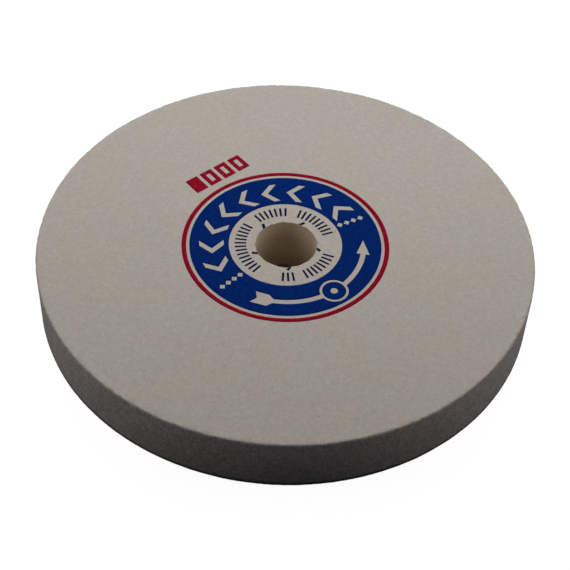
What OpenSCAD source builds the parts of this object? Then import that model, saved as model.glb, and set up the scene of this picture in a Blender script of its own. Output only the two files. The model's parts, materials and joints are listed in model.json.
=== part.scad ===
// Felt polishing wheel with a plain arbor hole and a mark printed on one face.
// The wheel lies on its unprinted face: z = 0 is that face, and the arbor hole runs along Z.
// The ink is soaked into the felt, so each print is a thin solid that fills a pocket in the printed
// face and is flush with it. The print is laid out from the arbor hole outward.

/* [Felt wheel] */
// Outside diameter of the wheel
wheel_d = 203.2; // [150:0.1:305]
// Thickness of the wheel, face to face
wheel_t = 25.4; // [6:0.1:76]
// Diameter of the arbor hole
bore_d = 25.4; // [12.7:0.1:38.1]
// Radius of the rounded outside corners
corner_r = 0.8; // [0.2:0.1:2.5]

/* [Print] */
// Depth that the ink soaks into the felt
ink_depth = 0.2; // [0.1:0.05:1]
// How far the print's centre lies from the hole's centre along X
print_shift_x = -0.3; // [-1:0.1:1]
// How far the print's centre lies from the hole's centre along Y
print_shift_y = 0.2; // [-1:0.1:1]
// Felt left bare between the hole's edge and any ink
bore_margin = 0.1; // [0.1:0.1:1]

/* [Index ticks] */
// Number of ticks around the hole
tick_count = 5; // [3:1:8]
// Reach of a tick beyond the hole's edge
tick_reach = 2; // [1.3:0.1:3]
// Line width of a tick
tick_w = 1.2; // [0.4:0.1:1.5]
// Direction of the first tick
tick_angle = 59; // [0:1:72]
// Slant of a tick away from the radius
tick_slant = 30; // [0:1:40]

/* [Legend ring] */
// Bare felt between the ticks and the legend
legend_gap = 1.4; // [0.5:0.1:4]
// Height of a legend bar, along the radius
legend_h = 4.7; // [2:0.1:8]
// Line width of a legend bar
legend_w = 0.9; // [0.5:0.1:1.3]
// Angle from one legend bar to the next
legend_pitch = 6.4; // [5.5:0.1:7]

/* [Blue band] */
// Bare felt between the legend and the band
legend_margin = 2.4; // [0.5:0.1:4]
// Width of the band, along the radius
band_w = 16.1; // [15:0.1:22]
// Distance from the band's inner edge to the middle of the chevrons
chevron_inset = 7; // [6.5:0.1:9]
// Height of a chevron, along the radius
chevron_h = 10; // [6:0.1:12]
// Line width of a chevron, the felt that shows in the ink
chevron_w = 2.8; // [1:0.1:3.5]
// How far a chevron's point leads its ends
chevron_lead = 4.6; // [1.5:0.1:5.5]
// Width of the small diamonds at both ends of the chevron row, point to point
diamond_w = 2.7; // [1:0.1:3]
// Spacing of the diamonds, along the radius
diamond_pitch = 3.2; // [3.1:0.1:3.6]

/* [Rotation arrow] */
// Distance from the band's inner edge to the arrow's centre line
arrow_inset = 8.8; // [7:0.1:10]
// Width of the shaft
shaft_w = 2.1; // [1:0.1:3]
// Width across the arrow's head
head_w = 5.4; // [4:0.1:8]
// Width across the arrow's tail
tail_w = 6; // [4:0.1:8]
// Outside diameter of the wheel symbol on the shaft
symbol_d = 11.6; // [8:0.1:14]
// Line width of the wheel symbol
symbol_line = 1; // [0.6:0.1:1.6]
// Diameter of the wheel symbol's centre dot
symbol_dot_d = 3; // [1.5:0.1:5]

/* [Red ring] */
// Bare felt between the band and the ring
ring_gap = 1.3; // [0.5:0.1:3]
// Width of the ring
ring_w = 1.9; // [0.8:0.1:4]

/* [Grade mark] */
// Bare felt between the ring and the grade mark
grade_gap = 3.4; // [2:0.1:6]
// Direction of the grade mark from the hole
grade_angle = 127; // [0:1:359]
// Turn of the grade mark away from the ring's tangent
grade_turn = 4; // [-6:1:6]
// Steps in the hardness scale
grade_steps = 4; // [2:1:5]
// Steps that are filled, counted from the soft end
grade_filled = 1; // [1:1:5]
// Height of one step
grade_h = 8.7; // [4.5:0.1:12]
// Width of one step
grade_w = 5.9; // [4.5:0.1:9]
// Space between two steps
grade_space = 1.5; // [0.5:0.1:3]
// Line width of an open step
grade_line = 2; // [0.6:0.1:2.1]

/* [Hidden] */
$fn = 96;

// Radii of the print, each from the one inside it
bore_r = bore_d / 2;
tick_out_r = bore_r + tick_reach;
legend_in_r = tick_out_r + legend_gap;
legend_r = legend_in_r + legend_h / 2;
band_in_r = legend_in_r + legend_h + legend_margin;
band_out_r = band_in_r + band_w;
chevron_r = band_in_r + chevron_inset;
arrow_r = band_in_r + arrow_inset;
ring_in_r = band_out_r + ring_gap;
ring_out_r = ring_in_r + ring_w;
grade_r = ring_out_r + grade_gap + grade_h / 2;

// Directions in the blue band, in degrees anticlockwise from +X
chevron_first = 43;
chevron_last = 207;
chevron_count = 9;
diamond_rows = [29, 226];
diamonds_in_row = 4;
arrow_tip_a = 367;
arrow_neck_a = 353;
arrow_tail_a = 248;
tail_notch_a = 251;
tail_front_a = 259;
tail_neck_a = 263;
symbol_a = 309;
arc_step = 3;

// The legend's groups of bars: [direction of the group's middle, number of bars]
legend_groups = [[191, 14], [111, 7], [48, 9], [275, 3], [320, 8]];

corner_steps = 8;
overcut = 1;
felt_color = [0.65, 0.62, 0.59];
blue_color = [0.02, 0.12, 0.34];
red_color = [0.6, 0.04, 0.15];
navy_color = [0.08, 0.07, 0.25];

function polar(r, a) = [r * cos(a), r * sin(a)];

// Half of the wheel's section, with rounded outside corners
function corner(z, from, rise) = [
    for (i = [0:corner_steps])
        let (a = from + rise * i / corner_steps)
        [wheel_d / 2 - corner_r + corner_r * cos(a), z + corner_r * sin(a)]
];
wheel_section = concat(
    [[0, 0]], corner(corner_r, -90, 90), corner(wheel_t - corner_r, 0, 90), [[0, wheel_t]]
);

// A chevron's outline with its point towards +Y and its middle on the origin
function chevron_points() =
    let (h = chevron_h / 2, l = chevron_lead / 2, w = chevron_w)
    [[-h, -l - w / 2], [0, l - w / 2], [h, -l - w / 2], [h, -l + w / 2], [0, l + w / 2], [-h, -l + w / 2]];

module at_angle(r, a) {
    rotate(a) translate([r, 0]) children();
}

module annulus(outer_r, inner_r) {
    difference() {
        circle(outer_r);
        circle(inner_r);
    }
}

// ---- flat shapes of the print, centred on the print ----

module tick_shape() {
    difference() {
        for (i = [0:tick_count - 1])
            at_angle(tick_out_r, tick_angle + i * 360 / tick_count)
                rotate(-tick_slant)
                    translate([-2 * tick_reach, -tick_w / 2]) square([2 * tick_reach, tick_w]);
        translate([-print_shift_x, -print_shift_y]) circle(bore_r + bore_margin);
    }
}

module legend_shape() {
    for (group = legend_groups, i = [0:group[1] - 1])
        at_angle(legend_r, group[0] + (i - (group[1] - 1) / 2) * legend_pitch)
            square([legend_h, legend_w], center = true);
}

module chevron_row() {
    for (i = [0:chevron_count - 1])
        at_angle(chevron_r, chevron_first + (chevron_last - chevron_first) * i / (chevron_count - 1))
            polygon(chevron_points());
}

module diamond_row() {
    for (a = diamond_rows, i = [0:diamonds_in_row - 1])
        at_angle(chevron_r + (i - (diamonds_in_row - 1) / 2) * diamond_pitch, a)
            rotate(45) square(diamond_w / sqrt(2), center = true);
}

module arrow_outline() {
    polygon(concat(
        [polar(arrow_r, arrow_tip_a), polar(arrow_r - head_w / 2, arrow_neck_a)],
        [for (a = [arrow_neck_a:-arc_step:tail_neck_a]) polar(arrow_r - shaft_w / 2, a)],
        [
            polar(arrow_r - tail_w / 2, tail_front_a), polar(arrow_r - tail_w / 2, arrow_tail_a),
            polar(arrow_r, tail_notch_a),
            polar(arrow_r + tail_w / 2, arrow_tail_a), polar(arrow_r + tail_w / 2, tail_front_a)
        ],
        [for (a = [tail_neck_a:arc_step:arrow_neck_a]) polar(arrow_r + shaft_w / 2, a)],
        [polar(arrow_r + head_w / 2, arrow_neck_a)]
    ));
}

module arrow_shape() {
    difference() {
        arrow_outline();
        at_angle(arrow_r, symbol_a) circle(d = symbol_d);
    }
    at_angle(arrow_r, symbol_a) {
        annulus(symbol_d / 2, symbol_d / 2 - symbol_line);
        circle(d = symbol_dot_d);
    }
}

module band_shape() {
    difference() {
        annulus(band_out_r, band_in_r);
        chevron_row();
        diamond_row();
        arrow_shape();
    }
}

module grade_step(filled) {
    difference() {
        square([grade_w, grade_h], center = true);
        if (!filled)
            square([grade_w - 2 * grade_line, grade_h - 2 * grade_line], center = true);
    }
}

module grade_shape() {
    pitch = grade_w + grade_space;
    at_angle(grade_r, grade_angle)
        rotate(grade_turn - 90)
            for (i = [0:grade_steps - 1])
                translate([(i - (grade_steps - 1) / 2) * pitch, 0])
                    grade_step(i < grade_filled);
}

// Ink, or the pocket for it with extra > 0: a flat shape from the ink's depth up to the face
module in_face(extra = 0) {
    translate([print_shift_x, print_shift_y, wheel_t - ink_depth])
        linear_extrude(ink_depth + extra) children();
}

// ---- nodes ----

module felt_wheel() {
    color(felt_color)
        difference() {
            rotate_extrude() polygon(wheel_section);
            translate([0, 0, -overcut]) cylinder(h = wheel_t + 2 * overcut, r = bore_r);
            in_face(overcut) band_shape();
            in_face(overcut) annulus(ring_out_r, ring_in_r);
            in_face(overcut) grade_shape();
            in_face(overcut) legend_shape();
            in_face(overcut) tick_shape();
        }
}

module blue_band_print() {
    color(blue_color) in_face() band_shape();
}

module red_ring_print() {
    color(red_color) in_face() annulus(ring_out_r, ring_in_r);
}

module red_grade_print() {
    color(red_color) in_face() grade_shape();
}

module navy_legend_print() {
    color(navy_color) in_face() legend_shape();
}

module navy_tick_print() {
    color(navy_color) in_face() tick_shape();
}

felt_wheel();
blue_band_print();
red_ring_print();
red_grade_print();
navy_legend_print();
navy_tick_print();
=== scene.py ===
"""Felt polishing wheel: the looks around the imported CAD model.

Mesh code works in millimetres, in the CAD frame, and scales to metres when a mesh is made.
"""

import json
import math

import bpy
import numpy as np
from mathutils import Matrix, Vector, kdtree, noise
from mathutils.geometry import delaunay_2d_cdt


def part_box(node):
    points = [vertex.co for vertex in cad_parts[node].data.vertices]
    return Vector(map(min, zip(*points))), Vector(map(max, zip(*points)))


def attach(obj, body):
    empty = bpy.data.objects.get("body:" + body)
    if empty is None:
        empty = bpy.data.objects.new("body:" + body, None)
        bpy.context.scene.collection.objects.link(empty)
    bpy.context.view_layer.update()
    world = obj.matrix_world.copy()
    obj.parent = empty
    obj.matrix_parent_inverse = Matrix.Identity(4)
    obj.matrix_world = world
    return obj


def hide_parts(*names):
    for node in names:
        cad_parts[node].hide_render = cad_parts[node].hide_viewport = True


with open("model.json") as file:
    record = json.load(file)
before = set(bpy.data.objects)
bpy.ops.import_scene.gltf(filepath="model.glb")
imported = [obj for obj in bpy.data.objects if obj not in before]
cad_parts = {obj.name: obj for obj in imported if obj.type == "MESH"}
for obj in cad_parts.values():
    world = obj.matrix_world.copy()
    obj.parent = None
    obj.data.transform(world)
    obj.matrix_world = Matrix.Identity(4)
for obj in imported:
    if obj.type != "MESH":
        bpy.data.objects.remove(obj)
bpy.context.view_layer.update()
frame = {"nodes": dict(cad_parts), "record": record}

# ---- sizes, in mm, from the frame ----

BODY = "root"
MM = 0.001              # a millimetre in metres
FELT_LOW, FELT_HIGH = (Vector(c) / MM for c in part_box("felt_wheel"))
WHEEL_R = (FELT_HIGH.x - FELT_LOW.x) / 2
TOP_Z = FELT_HIGH.z
MOUNTS = {m["name"]: m for m in frame["record"]["mounts"]}
BORE_R = MOUNTS["arbor_bore"]["dims"]["r_mm"]

RIM_ROUND = 0.8         # radius of the outside corners
BORE_ROUND = 0.1        # radius of the hole's corners
CORNER_ROWS = 4         # rows of mesh round a corner
EDGE_REACH = 2.5        # how far the ragged felt reaches from the rim and from the hole
FOOT_RAGGED = 0.2       # how ragged the foot of the side is, where its top is 1
RIM_STEP = 0.75         # mesh spacing round the rim and down the side
BORE_STEP = 0.5         # mesh spacing round the hole
FINE_STEP = 0.95        # mesh spacing of the faces near the print
COARSE_STEP = 1.5       # mesh spacing of the faces outside it
FINE_R = 60.0           # where the fine spacing ends
GRID_JITTER = 0.22      # how far a grid point strays, as a share of the spacing
GRID_CLEAR = 0.42       # how far it stays from every outline, as a share of the spacing
OUTLINE_STEP = 0.4      # spacing of points along the ink's outlines
OUTLINE_WOBBLE = 0.05   # raggedness of the ink's outlines
CIRCLE_SLACK = 0.06     # how far the points of an outline that counts as a circle may differ in radius
CIRCLE_POINTS = 12      # and what it has more points than
INK_CLEAR = 0.02        # bare felt that is always left between the hole's corner and the ink
INK_PROUD = 0.03        # how far the ink stands above the felt
INK_SOAK = 0.15         # how far it reaches into the felt
SEED = 7

INKS = {
    "blue_band_print": "blue_ink",
    "red_ring_print": "red_ink",
    "red_grade_print": "red_ink",
    "navy_legend_print": "navy_ink",
    "navy_tick_print": "navy_ink",
}

rng = np.random.default_rng(SEED)


# ---- small helpers ----

def make_object(name, points, faces, material):
    """A smooth-shaded mesh object from points in mm, riding on the wheel's body."""
    mesh = bpy.data.meshes.new(name)
    mesh.from_pydata((np.asarray(points) * MM).tolist(), [], faces)
    mesh.polygons.foreach_set("use_smooth", [True] * len(mesh.polygons))
    mesh.materials.append(material)
    mesh.update()
    obj = bpy.data.objects.new(name, mesh)
    bpy.context.scene.collection.objects.link(obj)
    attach(obj, BODY)
    return obj


def circle_points(radius, count):
    angles = np.arange(count) * 2 * math.pi / count
    return np.stack([radius * np.cos(angles), radius * np.sin(angles)], axis=1)


def relief(p, edge=0.0):
    """Height of the felt's surface above its true form, at a point in mm.

    edge is 1 where the felt is most ragged, and 0 away from its edges.
    """
    v = Vector(p)
    wave = 0.10 * noise.noise(v / 24)
    lumps = 0.045 * noise.noise(v / 7)
    grain = 0.03 * noise.noise(v / 2.3)
    ragged = edge * (0.18 * noise.noise(v / 2.2) + 0.28 * noise.noise(v / 0.9))
    return wave + lumps + grain + ragged


# ---- the ink's outlines, read from the CAD solids ----

def top_loops(node):
    """Outlines of the flat top of a CAD node, as closed lists of points in mm."""
    mesh = frame["nodes"][node].data
    co = np.array([v.co for v in mesh.vertices]) / MM
    key = [tuple(c) for c in np.round(co[:, :2], 4)]
    mesh.calc_loop_triangles()
    edges = {}
    for tri in mesh.loop_triangles:
        if min(co[i, 2] for i in tri.vertices) < TOP_Z - 0.01:
            continue
        a, b, c = (key[i] for i in tri.vertices)
        for e in ((a, b), (b, c), (c, a)):
            if e[::-1] in edges:
                del edges[e[::-1]]
            else:
                edges[e] = True
    follow = {a: b for a, b in edges}
    loops = []
    while follow:
        start, here = follow.popitem()
        loop = [start]
        while here != start:
            loop.append(here)
            here = follow.pop(here)
        loops.append(np.array(loop))
    return loops


def rough_outline(loop):
    """An anticlockwise loop with points close together and the small raggedness of ink on fibres."""
    x, y = loop.T
    if np.sum(x * np.roll(y, -1) - np.roll(x, -1) * y) < 0:
        loop = loop[::-1]
    centre = (loop.min(axis=0) + loop.max(axis=0)) / 2
    spread = np.linalg.norm(loop - centre, axis=1)
    if np.ptp(spread) < CIRCLE_SLACK and len(loop) > CIRCLE_POINTS:
        count = int(2 * math.pi * spread.mean() / OUTLINE_STEP)
        points = circle_points(spread.max(), count) + centre
    else:
        points = []
        for a, b in zip(loop, np.roll(loop, -1, axis=0)):
            parts = max(1, math.ceil(np.linalg.norm(b - a) / OUTLINE_STEP))
            points.extend(a + (b - a) * k / parts for k in range(parts))
        points = np.array(points)
    side = np.roll(points, -1, axis=0) - np.roll(points, 1, axis=0)
    side = np.stack([side[:, 1], -side[:, 0]], axis=1)
    side /= np.linalg.norm(side, axis=1)[:, None] + 1e-9
    shift = [noise.noise(Vector((x * 1.6, y * 1.6, 3.0))) + 0.6 * noise.noise(Vector((x * 4, y * 4, 9.0)))
             for x, y in points]
    points = points + side * (OUTLINE_WOBBLE * np.array(shift))[:, None]
    radius = np.linalg.norm(points, axis=1)
    clear = BORE_R + BORE_ROUND + INK_CLEAR
    return points * np.maximum(1, clear / radius)[:, None]


# ---- the felt ----

def grid_points(step, r_from, r_to, keep_off):
    """Jittered points on a hexagonal grid between two radii, clear of the points in keep_off."""
    rows = np.arange(-r_to, r_to, step * math.sqrt(0.75))
    found = []
    for k, y in enumerate(rows):
        x = np.arange(-r_to + (k % 2) * step / 2, r_to, step)
        found.append(np.stack([x, np.full_like(x, y)], axis=1))
    found = np.concatenate(found)
    found = found + rng.uniform(-GRID_JITTER, GRID_JITTER, found.shape) * step
    radius = np.linalg.norm(found, axis=1)
    found = found[(radius > r_from) & (radius < r_to)]
    tree = kdtree.KDTree(len(keep_off))
    for i, (x, y) in enumerate(keep_off):
        tree.insert((x, y, 0), i)
    tree.balance()
    gap = GRID_CLEAR * step
    return np.array([p for p in found if tree.find((p[0], p[1], 0))[2] > gap])


def face_mesh(loops):
    """Triangulates a face of the wheel so that its edges follow every loop.

    Returns the points, the triangles, the loops that hold each triangle, and the indices of the points along
    the rim and along the hole's edge.
    """
    rim = circle_points(WHEEL_R - RIM_ROUND, round(2 * math.pi * WHEEL_R / RIM_STEP))
    hole = circle_points(BORE_R + BORE_ROUND, round(2 * math.pi * BORE_R / BORE_STEP))
    outlines = [rim, hole] + loops
    fixed = np.concatenate(outlines)
    fine = grid_points(FINE_STEP, BORE_R + BORE_ROUND, FINE_R, fixed)
    coarse = grid_points(COARSE_STEP, FINE_R, WHEEL_R - RIM_ROUND, fixed)
    points = np.concatenate([fixed, fine, coarse])
    starts = np.cumsum([0] + [len(o) for o in outlines])
    rings = [list(range(a, b)) for a, b in zip(starts[:-1], starts[1:])]
    verts, _, tris, origin, _, inside = delaunay_2d_cdt([Vector(p) for p in points], [], rings, 1, 1e-7, True)
    place = {}
    for i, ids in enumerate(origin):
        place.update({j: i for j in ids})
    kept = [(t, f) for t, f in zip(tris, inside) if 1 not in f]
    return (
        np.array([tuple(v) for v in verts]),
        [t for t, _ in kept],
        [f for _, f in kept],
        [place[i] for i in rings[0]],
        [place[i] for i in rings[1]],
    )


def wall_rows(radius, round_r, outward, step):
    """Radius, height and surface direction of each row of points from the top face down to the bottom one."""
    arc = [(math.pi / 2) * k / CORNER_ROWS for k in range(1, CORNER_ROWS + 1)]
    rows = [(radius - outward * round_r * (1 - math.sin(a)), TOP_Z - round_r * (1 - math.cos(a)),
             outward * math.sin(a), math.cos(a)) for a in arc]
    straight = TOP_Z - 2 * round_r
    count = round(straight / step)
    rows += [(radius, TOP_Z - round_r - straight * k / count, outward, 0.0) for k in range(1, count)]
    rows += [(r, TOP_Z - z, nr, -nz) for r, z, nr, nz in reversed(rows[:CORNER_ROWS])]
    return rows


class Solid:
    """Points, their surface directions, how ragged and of which kind they are, and the faces between them."""

    def __init__(self):
        self.points, self.normals, self.faces, self.edge = [], [], [], []
        self.paint = {"bore": [], "side": []}

    def add(self, points, normals, edge, **paint):
        start = len(self.points)
        self.points.extend(points)
        self.normals.extend(normals)
        self.edge.extend(edge)
        for name, values in self.paint.items():
            values.extend(paint.get(name, [0.0] * len(points)))
        return start


def edge_amount(radius):
    """1 at the rim and at the hole, fading to 0 away from them."""
    away = min(WHEEL_R - radius, radius - BORE_R)
    return max(0.0, 1 - max(0.0, away) / EDGE_REACH)


def face_normals(flat):
    """Surface directions of the printed face's points, leaning out over the rim and the hole."""
    normals = []
    for x, y in flat:
        radius = math.hypot(x, y)
        outward = 1 if radius > (WHEEL_R + BORE_R) / 2 else -1
        lean = outward * edge_amount(radius) ** 2 / radius
        normals.append((x * lean, y * lean, 1))
    return normals


def add_wall(solid, top_ring, bottom_ring, rows, paint):
    """Joins the rings of the two faces with rows of quads. Its foot is less ragged than its top."""
    count = len(top_ring)
    previous = top_ring
    for k, (radius, z, nr, nz) in enumerate(rows):
        flat = circle_points(1.0, count)
        points = [(x * radius, y * radius, z) for x, y in flat]
        normals = [(x * nr, y * nr, nz) for x, y in flat]
        near = max(0.0, 1 - (TOP_Z - z) / EDGE_REACH) + FOOT_RAGGED * max(0.0, 1 - z / EDGE_REACH)
        start = solid.add(points, normals, [near] * count, **{paint: [abs(nr)] * count})
        ring = list(range(start, start + count))
        add_strip(solid, previous, ring, paint == "bore")
        previous = ring
    add_strip(solid, previous, bottom_ring, paint == "bore")


def add_strip(solid, upper, lower, flip):
    count = len(upper)
    for i in range(count):
        j = (i + 1) % count
        quad = (upper[i], lower[i], lower[j], upper[j])
        solid.faces.append(quad[::-1] if flip else quad)


def build_felt(loops):
    """The whole felt disc, as one closed mesh.

    Returns its points, the solid, and the triangles of the printed face with the loops that hold each.
    """
    solid = Solid()
    flat, tris, inside, rim, hole = face_mesh(loops)
    reach = [edge_amount(math.hypot(x, y)) for x, y in flat]
    solid.add([(x, y, TOP_Z) for x, y in flat], face_normals(flat), reach)
    solid.faces.extend(tris)
    back, back_tris, _, back_rim, back_hole = face_mesh([])
    start = solid.add([(x, y, 0) for x, y in back], [(0, 0, -1)] * len(back), [0.0] * len(back))
    solid.faces.extend([tuple(start + i for i in reversed(t)) for t in back_tris])
    back_rim = [start + i for i in back_rim]
    back_hole = [start + i for i in back_hole]
    add_wall(solid, rim, back_rim, wall_rows(WHEEL_R, RIM_ROUND, 1, RIM_STEP), "side")
    add_wall(solid, hole, back_hole, wall_rows(BORE_R, BORE_ROUND, -1, BORE_STEP), "bore")
    points = np.array(solid.points, float)
    normals = np.array(solid.normals, float)
    lift = np.array([relief(p, e) for p, e in zip(points, solid.edge)])
    points = points + normals * lift[:, None]
    points[:, 2] = np.maximum(points[:, 2], 0)
    return points, solid, tris, inside


def build_ink(name, points, tris, material):
    """A thin closed shell over the given triangles of the printed face."""
    used = sorted({i for t in tris for i in t})
    place = {j: i for i, j in enumerate(used)}
    top = points[used] + np.array([0, 0, INK_PROUD])
    bottom = points[used] - np.array([0, 0, INK_SOAK])
    count = len(used)
    upper = [tuple(place[i] for i in t) for t in tris]
    faces = list(upper) + [tuple(count + i for i in reversed(t)) for t in upper]
    edges = set()
    for a, b, c in upper:
        for e in ((a, b), (b, c), (c, a)):
            if e[::-1] in edges:
                edges.remove(e[::-1])
            else:
                edges.add(e)
    faces += [(b, a, count + a, count + b) for a, b in sorted(edges)]
    return make_object(name, np.concatenate([top, bottom]), faces, material)


# ---- stray fibres ----

FIBRE_LOWEST = 0.02     # height that no fibre goes below
FIBRE_RADIUS = (0.014, 0.03)
FIBRE_CURL = (0.1, 0.55)
FACE_FUZZ_IN = 2.5      # how far in from the rim the roots of a face's fibres stay
WALL_ROOT = 0.12        # how deep the roots of a wall's fibres lie
WALL_LEAST_OUT = 0.25   # least that such a fibre's heading points out of the felt


def unit(v):
    return v / (np.linalg.norm(v, axis=-1, keepdims=True) + 1e-12)


def add_fibres(name, roots, heading, length, thickness, curl, material):
    """Short curved wool fibres as closed, tapering three-sided tubes. None reaches below FIBRE_LOWEST."""
    count, joints = len(roots), 4
    step = (length / joints)[:, None]
    axis = unit(rng.normal(size=(count, 3)))
    path, here, going = [roots], roots.copy(), unit(heading)
    for _ in range(joints):
        going = unit(going + np.cross(axis, going) * curl[:, None])
        here = here + going * step
        here[:, 2] = np.maximum(here[:, 2], FIBRE_LOWEST)
        path.append(here)
    path = np.array(path)
    along = unit(path[-1] - path[0])
    side = unit(np.cross(along, unit(rng.normal(size=(count, 3)))))
    other = np.cross(along, side)
    verts, taper = [], (1.0, 0.95, 0.8, 0.55)
    for k, share in enumerate(taper):
        for corner in range(3):
            a = corner * 2 * math.pi / 3
            spoke = side * math.cos(a) + other * math.sin(a)
            verts.append(path[k] + spoke * (thickness * share)[:, None])
    verts.append(path[-1])
    verts = np.array(verts).transpose(1, 0, 2).reshape(-1, 3)
    verts[:, 2] = np.maximum(verts[:, 2], FIBRE_LOWEST)
    pattern = [(2, 1, 0)]
    for k in range(len(taper) - 1):
        for c in range(3):
            d = (c + 1) % 3
            pattern.append((3 * k + c, 3 * k + d, 3 * k + 3 + d, 3 * k + 3 + c))
    last = 3 * (len(taper) - 1)
    pattern += [(last + c, last + (c + 1) % 3, last + 3) for c in range(3)]
    size = last + 4
    faces = [tuple(i * size + v for v in f) for i in range(count) for f in pattern]
    return make_object(name, verts, faces, material)


def fibre_sizes(count, shortest, longest):
    """Length, radius and curl of each fibre. Most are short."""
    length = shortest + (longest - shortest) * rng.random(count) ** 2
    thickness = rng.uniform(*FIBRE_RADIUS, count)
    curl = rng.uniform(*FIBRE_CURL, count)
    return length, thickness, curl


def face_fibres(name, count, r_from, z, up, material):
    """Fibres that lie on a face, outside a radius, and lift a little from it. up is 1, or -1 for the back.

    On the back face FIBRE_LOWEST lifts them into the felt. Fewer than one in five shows there, in the hollows
    of its relief.
    """
    radius = np.sqrt(rng.uniform(r_from ** 2, (WHEEL_R - FACE_FUZZ_IN) ** 2, count))
    angle = rng.uniform(0, 2 * math.pi, count)
    roots = np.stack([radius * np.cos(angle), radius * np.sin(angle), np.full(count, z)], axis=1)
    roots[:, 2] += up * (np.array([relief(p) for p in roots]) - 0.03)
    turn = rng.uniform(0, 2 * math.pi, count)
    rise = up * rng.uniform(0.02, 0.25, count)
    heading = np.stack([np.cos(turn), np.sin(turn), rise], axis=1)
    return add_fibres(name, roots, heading, *fibre_sizes(count, 0.5, 2.4), material)


def wall_fibres(name, count, radius, outward, material, shortest, longest, heights):
    """Fibres that stand out of the side or of the hole's wall."""
    angle = rng.uniform(0, 2 * math.pi, count)
    z = heights(count)
    out = np.stack([np.cos(angle), np.sin(angle), np.zeros(count)], axis=1)
    roots = out * (radius - outward * WALL_ROOT) + np.array([0, 0, 1]) * z[:, None]
    tilt = rng.normal(scale=0.9, size=(count, 3))
    heading = out * outward + tilt
    leaving = np.sum(heading * out, axis=1) * outward
    heading += out * outward * np.maximum(0, WALL_LEAST_OUT - leaving)[:, None]
    return add_fibres(name, roots, heading, *fibre_sizes(count, shortest, longest), material)


def rim_heights(count):
    """Heights close to the side's rounded corners, nine in ten of them the upper one."""
    z = TOP_Z - 1.6 * rng.random(count) ** 1.5
    low_share = rng.random(count) < 0.1
    return np.where(low_share, TOP_Z - z + 0.05, z)


def even_heights(count):
    """Heights anywhere on the side or on the hole's wall."""
    return rng.uniform(0.3, TOP_Z - 0.1, count)


# ---- materials ----

class Nodes:
    """A node tree with short ways to add to it."""

    def __init__(self, tree):
        self.tree = tree
        self.place = tree.nodes.new("ShaderNodeTexCoord")

    def node(self, kind, **inputs):
        made = self.tree.nodes.new(kind)
        for name, value in inputs.items():
            self.feed(made.inputs[name], value)
        return made

    def feed(self, socket, value):
        if isinstance(value, bpy.types.Node):
            value = value.outputs[0]
        if isinstance(value, bpy.types.NodeSocket):
            self.tree.links.new(value, socket)
        else:
            socket.default_value = value

    def math(self, operation, a, b):
        made = self.tree.nodes.new("ShaderNodeMath")
        made.operation = operation
        self.feed(made.inputs[0], a)
        self.feed(made.inputs[1], b)
        return made.outputs[0]

    def choose(self, share, a, b):
        """Shader a where share is 0, and b where it is 1."""
        made = self.tree.nodes.new("ShaderNodeMixShader")
        for socket, value in zip(made.inputs, (share, a, b)):
            self.feed(socket, value)
        return made


class Shader(Nodes):
    """A node material with one Principled shader."""

    def __init__(self, name, roughness, specular, sheen=0.0, sheen_tint=(1, 1, 1, 1)):
        self.material = bpy.data.materials.new(name)
        self.material.use_nodes = True
        super().__init__(self.material.node_tree)
        self.surface = self.tree.nodes["Principled BSDF"]
        self.surface.inputs["Roughness"].default_value = roughness
        self.surface.inputs["Specular IOR Level"].default_value = specular
        self.surface.inputs["Sheen Weight"].default_value = sheen
        self.surface.inputs["Sheen Roughness"].default_value = 0.5
        self.surface.inputs["Sheen Tint"].default_value = sheen_tint
        here = self.place.outputs["Object"]
        self.mm = self.node("ShaderNodeMapping", Vector=here, Scale=(1 / MM, 1 / MM, 1 / MM))

    def noise(self, per_mm, detail=2.0, where=None):
        made = self.node("ShaderNodeTexNoise", Vector=where or self.mm, Scale=per_mm, Detail=detail)
        return made.outputs["Fac"]

    def paint(self, name):
        """A value that the mesh holds for each of its points."""
        made = self.node("ShaderNodeAttribute")
        made.attribute_name = name
        return made.outputs["Fac"]

    def remap(self, value, low, high, to_low=0.0, to_high=1.0):
        made = self.node("ShaderNodeMapRange", **{"Value": value, "From Min": low, "From Max": high,
                                                  "To Min": to_low, "To Max": to_high})
        return made.outputs[0]

    def mix(self, share, a, b, blend="MIX"):
        made = self.tree.nodes.new("ShaderNodeMix")
        made.data_type = "RGBA"
        made.blend_type = blend
        self.feed(made.inputs["Factor"], share)
        self.feed(made.inputs[6], a)
        self.feed(made.inputs[7], b)
        return made.outputs[2]

    def fibres(self):
        """A mat of curved fibres lying in three directions, from 0 to 1."""
        per_mm, stretch = 2.6, 7.0
        bend = self.node("ShaderNodeTexNoise", Vector=self.mm, Scale=0.45, Detail=1.0)
        warp = self.node("ShaderNodeVectorMath", Vector=bend.outputs["Color"])
        warp.operation = "SCALE"
        warp.inputs["Scale"].default_value = 2.4
        bent = self.node("ShaderNodeVectorMath")
        bent.operation = "ADD"
        self.feed(bent.inputs[0], self.mm)
        self.feed(bent.inputs[1], warp)
        layers = []
        for degrees in (12, 71, 133):
            turned = self.node("ShaderNodeMapping", Vector=bent, Rotation=(0, 0, math.radians(degrees)))
            long = self.node("ShaderNodeMapping", Vector=turned, Scale=(1 / stretch, 1, 1))
            layers.append(self.noise(per_mm, 1.0, long))
        return self.math("MAXIMUM", layers[0], self.math("MAXIMUM", layers[1], layers[2]))

    def bump(self, height, distance, strength):
        made = self.node("ShaderNodeBump", Height=height, Strength=strength, Distance=distance)
        self.feed(self.surface.inputs["Normal"], made)


FELT_LIGHT = (0.663, 0.60, 0.523, 1)
FELT_DARK = (0.50, 0.452, 0.389, 1)
FELT_BORE = (0.66, 0.55, 0.41, 1)
FELT_BORE_DARK = (0.56, 0.45, 0.32, 1)
FELT_SPECK = (0.20, 0.15, 0.10, 1)
# Near black: painted shade at the foot of the side, where it meets the floor.
FOOT_SHADE_COLOUR = (0.02, 0.02, 0.02, 1)
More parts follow.
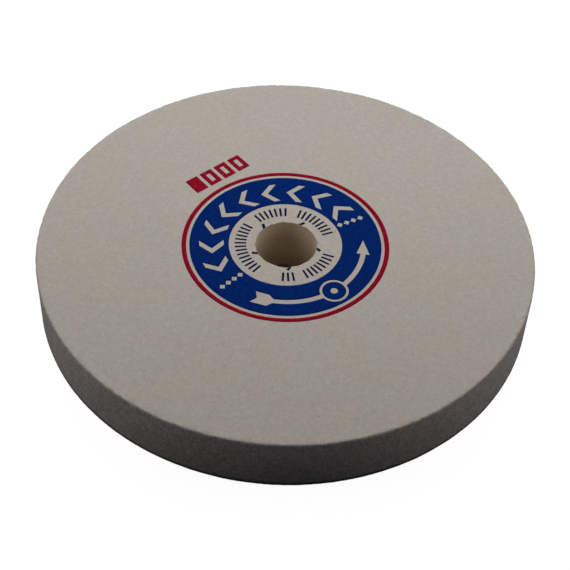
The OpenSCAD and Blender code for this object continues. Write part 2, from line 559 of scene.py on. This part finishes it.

# What the felt's colour is multiplied by: in its cool patches, in the light and dark parts of the rough side,
# as painted light near the hole's opening and painted shade deep in it, and in the light and dark parts of
# its wall.
COOL = (0.998, 1.0, 1.05, 1)
SIDE_LIGHT = (1.42, 1.42, 1.50, 1)
SIDE_DARK = (0.58, 0.58, 0.615, 1)
# The next two are painted light near the hole's opening and painted shade deep in it.
BORE_LIP_LIGHT = (1.32, 1.34, 1.38, 1)
BORE_DEEP_SHADE = (0.94, 0.94, 0.94, 1)
BORE_LIGHT = (1.14, 1.14, 1.14, 1)
BORE_DARK = (0.86, 0.86, 0.86, 1)

FOOT_SHADE = 0.9                # how much of the near-black painted shade the foot of the side takes
FOOT_SHADE_FADE = (1.2, 2.8)    # heights between which that fades out, in mm
LIP_LIGHT_FROM = 9                # depth in the hole where the painted light near its opening starts to show, in mm
LIP_LIGHT_FULL = 0.5              # depth where it shows in full


def felt_material():
    """Pressed wool: a mat of fibres, with a rough side, painted shade at its foot, and a browner hole."""
    s = Shader("wool_felt", roughness=0.95, specular=0.2, sheen=0.12, sheen_tint=(1.0, 0.97, 0.93, 1))
    mat = s.fibres()
    fine = s.noise(3.1, 3.0)
    tone = s.math("ADD", s.remap(mat, 0.5, 0.72, 0.0, 0.6), s.remap(fine, 0.3, 0.7, -0.05, 0.45))
    tone = s.math("ADD", tone, s.remap(s.noise(0.5), 0.3, 0.7, -0.14, 0.14))
    colour = s.mix(tone, FELT_DARK, FELT_LIGHT)
    wide, close = s.math("MULTIPLY", s.noise(0.05, 3.0), 0.75), s.math("MULTIPLY", s.noise(0.22), 0.25)
    patches = s.math("ADD", wide, close)
    colour = s.mix(s.remap(patches, 0.42, 0.58), colour, s.mix(1.0, colour, COOL, "MULTIPLY"))
    cell = s.node("ShaderNodeTexVoronoi", Vector=s.mm, Scale=0.11)
    speck = s.remap(cell.outputs["Distance"], 0.014, 0.03, 0.6, 0.0)
    colour = s.mix(speck, colour, FELT_SPECK)
    level = s.node("ShaderNodeSeparateXYZ", Vector=s.mm).outputs["Z"]
    small, broad = s.remap(s.noise(1.4), 0.3, 0.7, 0.0, 0.72), s.remap(s.noise(0.35), 0.3, 0.7, 0.0, 0.28)
    pile = s.math("ADD", small, broad)
    side = s.mix(1.0, colour, s.mix(pile, SIDE_DARK, SIDE_LIGHT), "MULTIPLY")
    # Painted shade: the foot of the side turns near black, as if in the floor's contact shadow.
    foot_shade_share = s.remap(level, *FOOT_SHADE_FADE, FOOT_SHADE, 0.0)
    side = s.mix(foot_shade_share, side, FOOT_SHADE_COLOUR)
    colour = s.mix(s.paint("side"), colour, side)
    # Painted light and shade: the hole's wall is lighter near its opening and darker deeper in.
    lip_light = s.mix(s.remap(level, TOP_Z - LIP_LIGHT_FROM, TOP_Z - LIP_LIGHT_FULL), BORE_DEEP_SHADE, BORE_LIP_LIGHT)
    lip_light = s.mix(1.0, lip_light, s.mix(pile, BORE_DARK, BORE_LIGHT), "MULTIPLY")
    inner = s.mix(1.0, s.mix(tone, FELT_BORE_DARK, FELT_BORE), lip_light, "MULTIPLY")
    colour = s.mix(s.paint("bore"), colour, inner)
    s.feed(s.surface.inputs["Base Color"], colour)
    height = s.math("ADD", s.math("MULTIPLY", mat, 0.7), s.math("MULTIPLY", fine, 0.5))
    s.bump(height, 0.00010, 0.8)
    return s.material


def ink_material(name, ink):
    """Ink soaked into felt: a little uneven, with the odd fibre left barer."""
    s = Shader(name, roughness=0.85, specular=0.02)
    mat = s.fibres()
    fine = s.noise(2.2, 3.0)
    deep = tuple(c * 0.66 for c in ink) + (1,)
    thin = tuple(c * 1.34 + 0.0012 for c in ink) + (1,)
    tone = s.math("ADD", s.remap(mat, 0.5, 0.72, 0.0, 0.5), s.remap(fine, 0.3, 0.7, 0.0, 0.5))
    tone = s.math("ADD", tone, s.remap(s.noise(0.6), 0.3, 0.7, -0.2, 0.2))
    colour = s.mix(tone, deep, thin)
    gaps = s.remap(s.math("MULTIPLY", mat, fine), 0.40, 0.48, 0.0, 0.02)
    colour = s.mix(gaps, colour, FELT_LIGHT)
    s.feed(s.surface.inputs["Base Color"], colour)
    height = s.math("ADD", s.math("MULTIPLY", mat, 0.7), s.math("MULTIPLY", fine, 0.4))
    s.bump(height, 0.00008, 0.7)
    return s.material


def fibre_material(name, colour):
    """A single wool fibre, lighter or darker from place to place."""
    s = Shader(name, roughness=0.7, specular=0.3, sheen=0.1)
    tone = s.noise(0.4, 1.0)
    darker = tuple(c * 0.82 for c in colour) + (1,)
    s.feed(s.surface.inputs["Base Color"], s.mix(tone, darker, colour + (1,)))
    return s.material


# ---- the wheel ----

def build_wheel():
    """The felt and the five prints, each in place of its CAD node."""
    felt = felt_material()
    inks = {
        "blue_ink": ink_material("blue_ink", (0.0013, 0.0240, 0.172)),
        "red_ink": ink_material("red_ink", (0.33, 0.005, 0.024)),
        "navy_ink": ink_material("navy_ink", (0.010, 0.014, 0.062)),
    }
    loops, owners = [], []
    for node in INKS:
        for loop in top_loops(node):
            loops.append(rough_outline(loop))
            owners.append(node)
    points, solid, tris, inside = build_felt(loops)
    body = make_object("felt_body", points, solid.faces, felt)
    for name, values in solid.paint.items():
        shade = body.data.attributes.new(name, "FLOAT", "POINT")
        shade.data.foreach_set("value", np.array(values, np.float32))
    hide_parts("felt_wheel")
    first_print = 2     # loops 0 and 1 are the rim and the hole's edge
    for node, ink in INKS.items():
        mine = {first_print + i for i, owner in enumerate(owners) if owner == node}
        inked = [t for t, f in zip(tris, inside) if len(mine.intersection(f)) % 2]
        piece = build_ink(node.replace("_print", "_ink"), points, inked, inks[ink])
        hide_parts(node)


def build_fibres():
    """Stray fibres on both faces, the rim, the side and the hole's wall. None lie on the round print.

    About four in ten end up wholly inside the felt and don't show.
    """
    wool = fibre_material("wool_fibre", (0.70, 0.64, 0.58))
    bore = fibre_material("bore_fibre", (0.60, 0.49, 0.35))
    print_r = max(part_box("red_ring_print")[1]) / MM + 1
    pieces = [
        face_fibres("printed_face_fuzz", 7000, print_r, TOP_Z, 1, wool),
        face_fibres("back_face_fuzz", 3000, BORE_R + 1, 0, -1, wool),
        wall_fibres("rim_fuzz", 9000, WHEEL_R - 0.3, 1, wool, 0.25, 1.2, rim_heights),
        wall_fibres("side_fuzz", 6000, WHEEL_R, 1, wool, 0.2, 1.1, even_heights),
        wall_fibres("bore_fuzz", 2600, BORE_R, -1, bore, 0.2, 1.1, even_heights),
    ]


# ---- stage ----

# Lengths in metres, apart from GLOW_FROM.
FLOOR_SIZE = 6.0
FLOOR_PALE = 0.95           # the floor's own brightness to the camera
FLOOR_SHADE = 0.20          # how much of the light on it, and so of the shadow, it shows
FLOOR_GLOW = 0.24           # its weak light on the wheel's side, from GLOW_FROM outwards
GLOW_FROM = 200             # distance from the wheel's axis, in mm
FILL = (0.042, 0.043, 0.049, 1)     # weak cool light from all round
BACK_GLOW = 0.63            # light from behind and above
KEY = {"at": (0.0, 0.15, 0.25), "size": (0.40, 0.10), "radiance": 2.75}
RIGHT = {"at": (0.35, 0.0, 0.30), "size": (0.24, 0.24), "radiance": 1.85}
LEFT = {"at": (-0.35, -0.04, 0.30), "size": (0.24, 0.24), "radiance": 1.85}


def build_floor():
    """A plain pale floor, bright to the camera but weak as a lamp, with a painted shadow where the wheel
    covers it: there its own brightness is left out.
    """
    half = FLOOR_SIZE / 2
    mesh = bpy.data.meshes.new("floor")
    corners = [(-half, -half, 0), (half, -half, 0), (half, half, 0), (-half, half, 0)]
    mesh.from_pydata(corners, [], [(0, 1, 2, 3)])
    floor = bpy.data.objects.new("floor", mesh)
    bpy.context.scene.collection.objects.link(floor)
    floor.location.z = -0.0001
    s = Shader("pale_floor", roughness=1.0, specular=0.0)
    s.surface.inputs["Base Color"].default_value = (FLOOR_SHADE, FLOOR_SHADE, FLOOR_SHADE, 1)
    s.surface.inputs["Emission Color"].default_value = (1, 1, 1, 1)
    away = s.node("ShaderNodeVectorMath", Vector=s.mm)
    away.operation = "LENGTH"
    radius = away.outputs["Value"]
    # Painted shadow: the floor's own brightness is left out under the wheel, where it shows dark through the
    # hole.
    pale = s.remap(radius, WHEEL_R - 4, WHEEL_R - 1, 0.0, FLOOR_PALE)
    s.feed(s.surface.inputs["Emission Strength"], pale)
    glow = s.node("ShaderNodeEmission", Strength=s.remap(radius, GLOW_FROM, GLOW_FROM + 1, 0.0, FLOOR_GLOW))
    seen = s.tree.nodes.new("ShaderNodeLightPath")
    out = s.tree.nodes["Material Output"]
    s.feed(out.inputs["Surface"], s.choose(seen.outputs["Is Camera Ray"], glow, s.surface))
    mesh.materials.append(s.material)
    floor.visible_glossy = False


def add_lamp(name, at, size, radiance):
    """A soft rectangular lamp that faces the wheel."""
    data = bpy.data.lights.new(name, "AREA")
    data.shape = "RECTANGLE"
    data.size, data.size_y = size
    data.energy = radiance * math.pi * size[0] * size[1]
    lamp = bpy.data.objects.new(name, data)
    bpy.context.scene.collection.objects.link(lamp)
    lamp.location = at
    lamp.rotation_euler = (-Vector(at)).to_track_quat("-Z", "Y").to_euler()
    lamp.visible_camera = False
    lamp.visible_glossy = False


def build_light():
    """A long soft box above the wheel's back, one on each side, a glow from behind and a weak cool fill."""
    world = bpy.data.worlds.new("studio")
    bpy.context.scene.world = world
    world.use_nodes = True
    world.node_tree.nodes.clear()
    s = Nodes(world.node_tree)
    axes = s.node("ShaderNodeSeparateXYZ", Vector=s.place.outputs["Generated"])
    above = s.math("GREATER_THAN", axes.outputs["Z"], 0.0)
    behind = s.math("MULTIPLY", s.math("MAXIMUM", axes.outputs["Y"], 0.0), above)
    fill = s.node("ShaderNodeBackground", Color=FILL, Strength=1.0)
    glow = s.node("ShaderNodeBackground", Strength=s.math("MULTIPLY", behind, BACK_GLOW))
    light = s.tree.nodes.new("ShaderNodeAddShader")
    s.feed(light.inputs[0], fill)
    s.feed(light.inputs[1], glow)
    backdrop = s.node("ShaderNodeBackground", Color=(0.97, 0.97, 0.97, 1), Strength=1.0)
    seen = s.tree.nodes.new("ShaderNodeLightPath")
    out = s.tree.nodes.new("ShaderNodeOutputWorld")
    s.feed(out.inputs["Surface"], s.choose(seen.outputs["Is Camera Ray"], light, backdrop))
    add_lamp("key", **KEY)
    add_lamp("right", **RIGHT)
    add_lamp("left", **LEFT)


# Lengths in metres and angles in degrees. The lens is in mm.
CAMERA_SIDE = 0.0002        # how far the camera stands to the right of the wheel's axis
CAMERA_BACK = 0.4141        # its distance in front of the axis
CAMERA_UP = 0.4257          # its height above the printed face
CAMERA_TILT = 47.4          # how far it looks down
CAMERA_ROLL = 2.41
CAMERA_LENS = 91.63         # on a 36 mm sensor


def build_camera():
    """A camera that looks down at the wheel from in front, rolled a little."""
    data = bpy.data.cameras.new("camera")
    data.sensor_width = 36
    data.lens = CAMERA_LENS
    data.clip_start = 0.01
    camera = bpy.data.objects.new("camera", data)
    bpy.context.scene.collection.objects.link(camera)
    tilt = Matrix.Rotation(math.radians(90 - CAMERA_TILT), 4, "X")
    roll = Matrix.Rotation(math.radians(CAMERA_ROLL), 4, "Z")
    place = Matrix.Translation((CAMERA_SIDE, -CAMERA_BACK, CAMERA_UP + TOP_Z * MM))
    camera.matrix_world = place @ tilt @ roll
    bpy.context.scene.camera = camera


bpy.context.scene.view_settings.view_transform = "Standard"
build_camera()
build_light()
build_floor()
build_wheel()
build_fibres()
